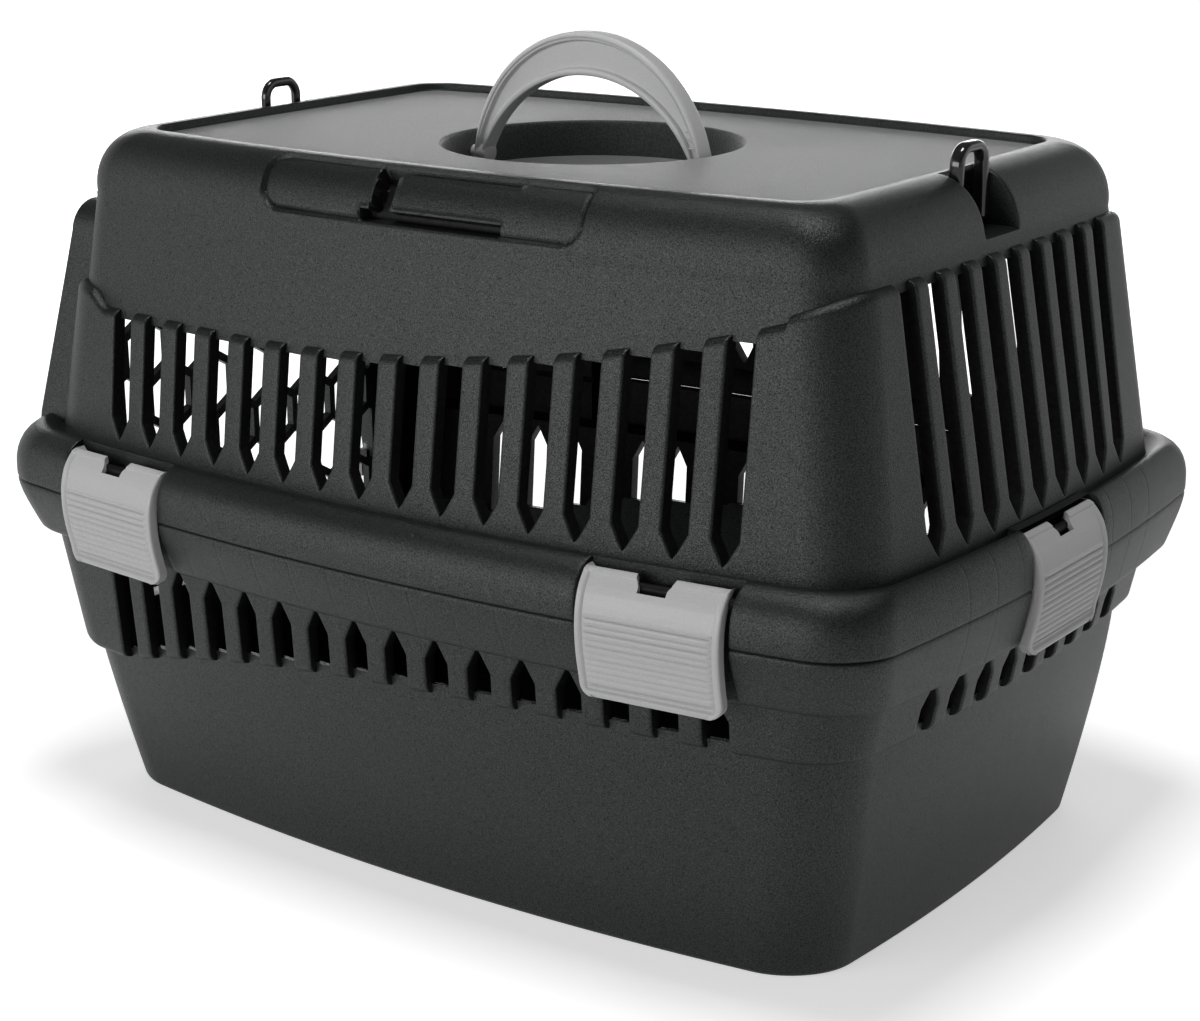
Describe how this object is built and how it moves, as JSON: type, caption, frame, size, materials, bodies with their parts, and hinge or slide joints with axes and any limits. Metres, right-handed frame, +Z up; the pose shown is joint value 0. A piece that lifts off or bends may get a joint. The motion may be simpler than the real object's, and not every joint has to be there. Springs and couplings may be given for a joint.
{
  "type": "pet carrier",
  "caption": "Two-part plastic pet carrier with slotted walls, a honeycomb door, latches round the rim, a folding handle and folding strap loops.",
  "frame": {"origin": "on the floor, under the middle of the carrier", "axes": "+X towards the closed end, away from the door; +Z up; -Y towards the long side that carries the belt guide"},
  "size_m": [0.4782, 0.3476, 0.355],
  "materials": {
    "charcoal_plastic": "fine grain",
    "grey_plastic": "satin",
    "black_gloss_plastic": "gloss"
  },
  "bodies": {
    "base": {"base_tub": "charcoal_plastic"},
    "lid": {"lid_shell": "charcoal_plastic", "bar_front_door_end": "charcoal_plastic", "bar_front_closed_end": "charcoal_plastic", "bar_back_door_end": "charcoal_plastic", "bar_back_closed_end": "charcoal_plastic", "bar_end": "charcoal_plastic"},
    "handle": {"handle": "grey_plastic"},
    "strap_loop_door_end": {"strap_loop_door_end": "black_gloss_plastic"},
    "strap_loop_closed_end": {"strap_loop_closed_end": "black_gloss_plastic"},
    "latch_front_door_end": {"latch_front_door_end": "grey_plastic"},
    "latch_front_closed_end": {"latch_front_closed_end": "grey_plastic"},
    "latch_back_door_end": {"latch_back_door_end": "grey_plastic"},
    "latch_back_closed_end": {"latch_back_closed_end": "grey_plastic"},
    "latch_end": {"latch_end": "grey_plastic"},
    "door": {"door_panel": "charcoal_plastic", "door_pin_upper": "charcoal_plastic", "door_pin_lower": "charcoal_plastic"},
    "door_bolt_upper": {"door_bolt_upper": "grey_plastic"},
    "door_bolt_lower": {"door_bolt_lower": "grey_plastic"}
  },
  "joints": [
    {"name": "lid_lift", "type": "slide", "parent": "base", "child": "lid", "axis": [0, 0, 1], "range_m": [0, 0.06]},
    {"name": "latch_front_door_end_hinge", "type": "hinge", "parent": "lid", "child": "latch_front_door_end", "pos_m": [-0.14425, -0.15924, 0.169], "axis": [-0.995, 0.1002, 0], "range_deg": [0, 100]},
    {"name": "latch_front_closed_end_hinge", "type": "hinge", "parent": "lid", "child": "latch_front_closed_end", "pos_m": [0.14425, -0.15924, 0.169], "axis": [-0.995, -0.1002, 0], "range_deg": [0, 100]},
    {"name": "latch_back_door_end_hinge", "type": "hinge", "parent": "lid", "child": "latch_back_door_end", "pos_m": [-0.14425, 0.15924, 0.169], "axis": [0.995, 0.1002, 0], "range_deg": [0, 100]},
    {"name": "latch_back_closed_end_hinge", "type": "hinge", "parent": "lid", "child": "latch_back_closed_end", "pos_m": [0.14425, 0.15924, 0.169], "axis": [0.995, -0.1002, 0], "range_deg": [0, 100]},
    {"name": "latch_end_hinge", "type": "hinge", "parent": "lid", "child": "latch_end", "pos_m": [0.2325, 0, 0.169], "axis": [0, -1, 0], "range_deg": [0, 100]},
    {"name": "handle_fold", "type": "hinge", "parent": "lid", "child": "handle", "pos_m": [0, 0, 0.2975], "axis": [1, 0, 0], "range_deg": [-90, 90]},
    {"name": "strap_loop_door_end_fold", "type": "hinge", "parent": "lid", "child": "strap_loop_door_end", "pos_m": [-0.1856, 0, 0.2915], "axis": [0, -1, 0], "range_deg": [0, 85]},
    {"name": "strap_loop_closed_end_fold", "type": "hinge", "parent": "lid", "child": "strap_loop_closed_end", "pos_m": [0.1856, 0, 0.2915], "axis": [0, 1, 0], "range_deg": [0, 85]},
    {"name": "door_swing", "type": "hinge", "parent": "base", "child": "door", "pos_m": [-0.214, -0.094, 0.17], "axis": [0, 0, 1], "range_deg": [0, 95]},
    {"name": "door_bolt_upper_slide", "type": "slide", "parent": "door", "child": "door_bolt_upper", "axis": [0, 0, 1], "range_m": [0, 0.007]},
    {"name": "door_bolt_lower_slide", "type": "slide", "parent": "door", "child": "door_bolt_lower", "axis": [0, 0, -1], "range_m": [0, 0.007]}
  ],
  "couplings": [
    {"joint": "latch_front_door_end_hinge", "follows": "lid_lift", "rad_per_m": 29},
    {"joint": "latch_front_closed_end_hinge", "follows": "lid_lift", "rad_per_m": 29},
    {"joint": "latch_back_door_end_hinge", "follows": "lid_lift", "rad_per_m": 29},
    {"joint": "latch_back_closed_end_hinge", "follows": "lid_lift", "rad_per_m": 29},
    {"joint": "latch_end_hinge", "follows": "lid_lift", "rad_per_m": 29}
  ]
}
